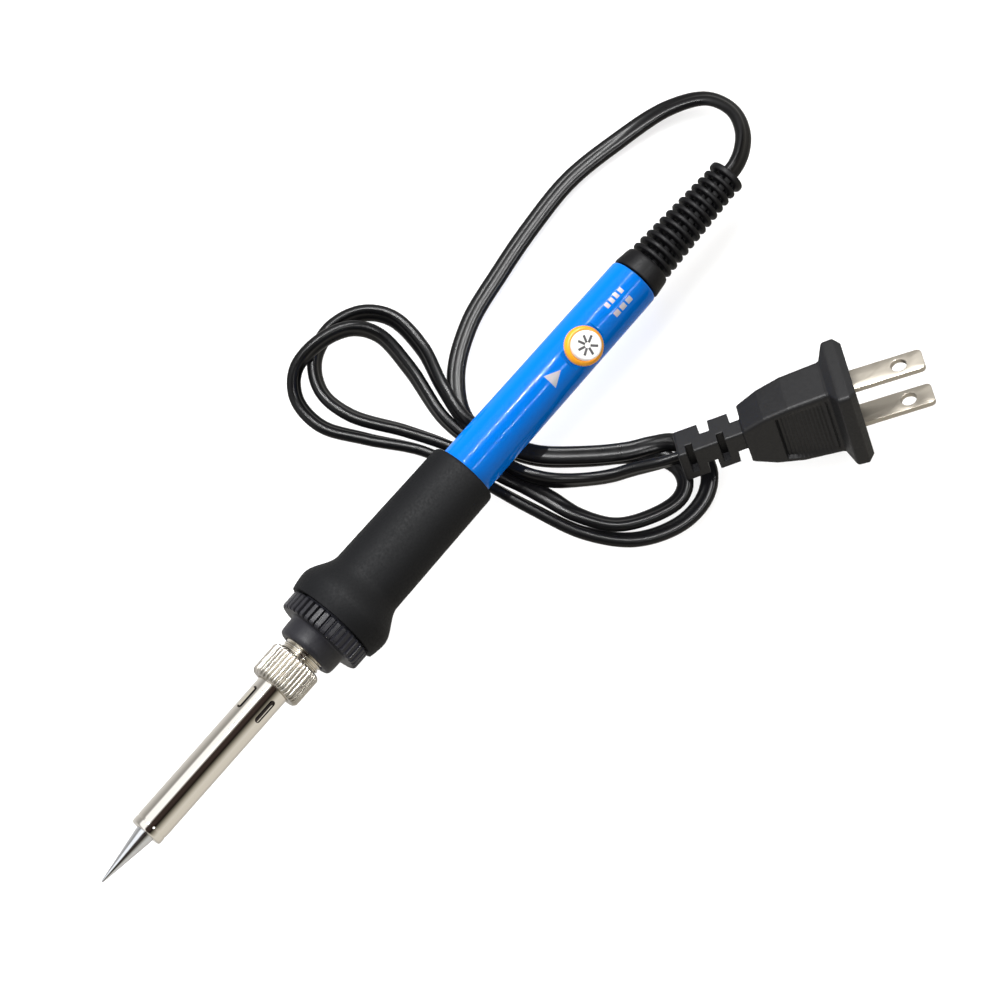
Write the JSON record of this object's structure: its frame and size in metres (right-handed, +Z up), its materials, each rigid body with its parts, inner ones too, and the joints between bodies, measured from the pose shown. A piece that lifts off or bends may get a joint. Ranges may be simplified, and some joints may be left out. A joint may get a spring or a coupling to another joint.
{
  "type": "soldering iron",
  "caption": "Pencil soldering iron with a conical tip, knurled nut, flared rubber grip, temperature dial on a tapered handle, ribbed cord guard and a moulded flat mains plug.",
  "frame": {"origin": "on the bench directly under the middle of the iron's length, the free cord and plug left out", "axes": "+X along the iron from the soldering tip to the cord guard, +Z up from the bench, the dial facing up and slightly to -Y"},
  "size_m": [0.2438, 0.1265, 0.0311],
  "materials": {
    "tip_plating": "polished",
    "barrel_nickel": "polished",
    "nut_nickel": "satin",
    "ceramic": "matt glazed ceramic",
    "collar_plastic": "satin",
    "grip_rubber": "matt",
    "handle_plastic": "glossy",
    "dial_yellow": "semi-gloss",
    "dial_white": "semi-gloss",
    "steel_shaft": "turned",
    "board_laminate": "satin",
    "component_dark": "satin",
    "component_red": "dipped",
    "component_body": "lacquered",
    "pot_body": "satin",
    "lead_sleeve": "braided sleeve",
    "cord_pvc": "satin PVC",
    "tie_nylon": "satin",
    "plug_pvc": "satin PVC",
    "blade_nickel": "brushed nickel plate"
  },
  "bodies": {
    "handle": {"handle_shell": "handle_plastic", "grip_sleeve": "grip_rubber", "control_board": "board_laminate", "triac": "component_dark", "film_capacitor": "component_red", "fixed_resistor": "component_body", "trigger_diac": "component_body", "suppressor_resistor": "component_body", "potentiometer_body": "pot_body", "cord_guard": "cord_pvc", "cord_tail": "cord_pvc", "cord_tie": "tie_nylon", "core_wire_left": "cord_pvc", "core_wire_right": "cord_pvc", "power_cord": "cord_pvc", "plug_body": "plug_pvc", "plug_blade_upper": "blade_nickel", "plug_blade_lower": "blade_nickel"},
    "front_end": {"threaded_bush": "nut_nickel", "heater_holder": "ceramic", "heating_element": "ceramic", "heater_lead_left": "lead_sleeve", "heater_lead_right": "lead_sleeve"},
    "collar": {"front_collar": "collar_plastic"},
    "barrel": {"barrel_tube": "barrel_nickel", "soldering_tip": "tip_plating"},
    "nut": {"retaining_nut": "nut_nickel"},
    "dial": {"dial_knob": "dial_yellow", "dial_cap": "dial_white", "potentiometer_shaft": "steel_shaft"}
  },
  "joints": [
    {"name": "dial_turn", "type": "hinge", "parent": "handle", "child": "dial", "pos_m": [0.0566, 0, 0.01285], "axis": [0, -0.342, 0.9397], "range_deg": [-135, 135]},
    {"name": "front_slide", "type": "slide", "parent": "handle", "child": "front_end", "axis": [-1, 0, 0], "range_m": [0, 0.004]},
    {"name": "collar_turn", "type": "hinge", "parent": "front_end", "child": "collar", "pos_m": [-0.0377, 0, 0.01285], "axis": [-1, 0, 0], "range_deg": [0, 1441]},
    {"name": "barrel_slide", "type": "slide", "parent": "front_end", "child": "barrel", "axis": [-1, 0, 0], "range_m": [0, 0.0045]},
    {"name": "nut_turn", "type": "hinge", "parent": "barrel", "child": "nut", "pos_m": [-0.0495, 0, 0.01285], "axis": [-1, 0, 0], "range_deg": [0, 1621]}
  ],
  "couplings": [
    {"joint": "collar_turn", "follows": "front_slide", "rad_per_m": 6283.2},
    {"joint": "nut_turn", "follows": "barrel_slide", "rad_per_m": 6283.2}
  ]
}
